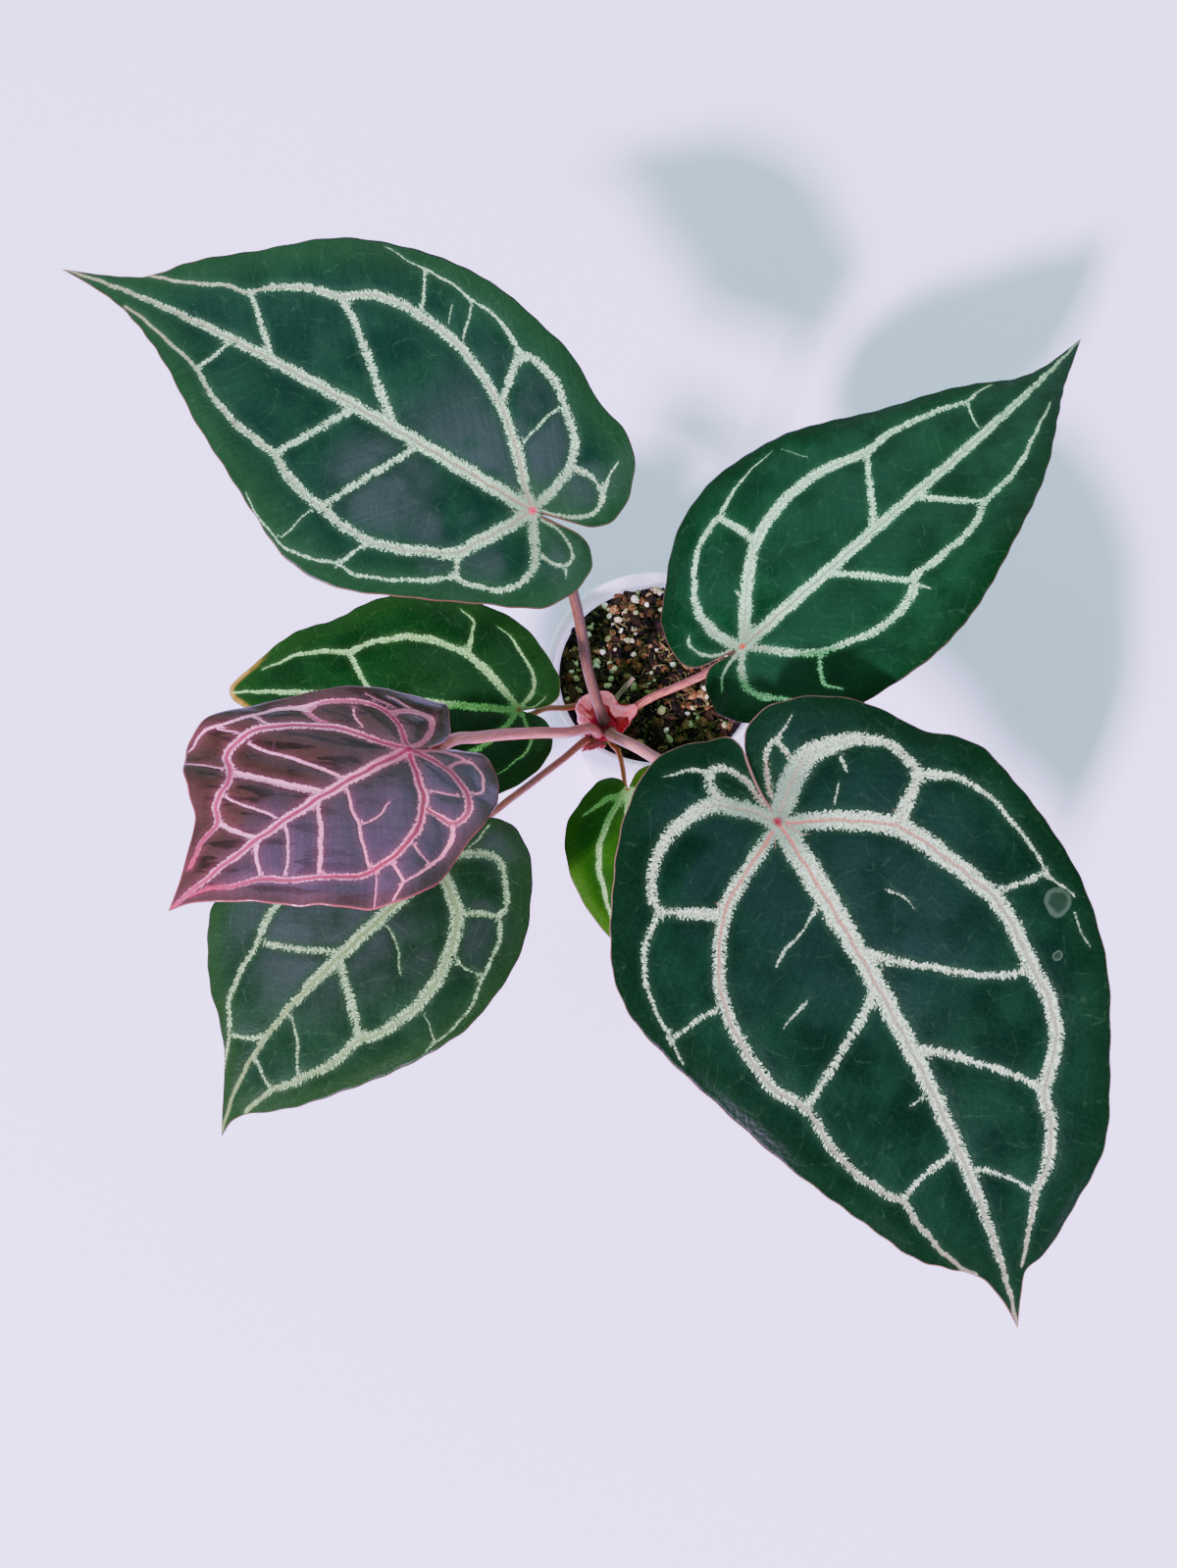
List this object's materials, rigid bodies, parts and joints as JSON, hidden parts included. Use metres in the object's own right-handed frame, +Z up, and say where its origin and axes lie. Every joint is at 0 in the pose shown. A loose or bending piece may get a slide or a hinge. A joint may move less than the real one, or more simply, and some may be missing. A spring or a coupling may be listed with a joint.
{
  "type": "potted anthurium",
  "caption": "Potted young anthurium with heart-shaped leaves on long stalks that fan out from a short leaning stem in a round nursery pot.",
  "frame": {"origin": "middle of the pot's flat base, on the surface the pot stands on", "axes": "+Z up along the pot's axis; +Y away from the viewer of the picture; +X to the viewer's right"},
  "size_m": [0.4218, 0.4026, 0.2823],
  "materials": {
    "pot_plastic": "milky white translucent plastic, satin",
    "bark_mix": "dark damp bark, perlite and moss",
    "stem_rind": "reddish brown rind, satin",
    "sheath_coral": "glossy coral leaf sheath",
    "sheath_papery": "dry pale pink papery scale",
    "old_stalk_dry": "withered grey-green stub",
    "blade_front_right_face": "dark bluish green, velvety, with white-grey feathery veins",
    "blade_back_left_face": "dark bluish green, velvety, with white-grey feathery veins",
    "blade_back_right_face": "mid green, velvety, with pale veins",
    "blade_front_left_face": "mid green with pale veins",
    "blade_mid_left_face": "bright green, satin, yellowing at the tip",
    "blade_small_front_face": "bright yellow-green, satin",
    "blade_new_pink_face": "brownish mauve young leaf, glossy, with hot-pink veins",
    "petiole_front_right_skin": "mauve-brown with fine pale speckle",
    "petiole_back_left_skin": "mauve-brown with fine pale speckle",
    "petiole_back_right_skin": "salmon with a darker stripe",
    "petiole_front_left_skin": "mauve-brown with fine pale speckle",
    "petiole_mid_left_skin": "tan to orange-brown",
    "petiole_small_front_skin": "tan to orange-brown",
    "petiole_new_pink_skin": "mauve-brown with fine pale speckle"
  },
  "bodies": {
    "root": {"pot": "pot_plastic", "soil": "bark_mix", "crown_stem": "stem_rind", "sheath_right": "sheath_coral", "sheath_left": "sheath_coral", "sheath_front": "sheath_papery", "old_petiole_stub": "old_stalk_dry", "blade_front_right": "blade_front_right_face", "blade_back_left": "blade_back_left_face", "blade_back_right": "blade_back_right_face", "blade_front_left": "blade_front_left_face", "blade_mid_left": "blade_mid_left_face", "blade_small_front": "blade_small_front_face", "blade_new_pink": "blade_new_pink_face", "petiole_front_right": "petiole_front_right_skin", "petiole_back_left": "petiole_back_left_skin", "petiole_back_right": "petiole_back_right_skin", "petiole_front_left": "petiole_front_left_skin", "petiole_mid_left": "petiole_mid_left_skin", "petiole_small_front": "petiole_small_front_skin", "petiole_new_pink": "petiole_new_pink_skin"}
  },
  "joints": []
}
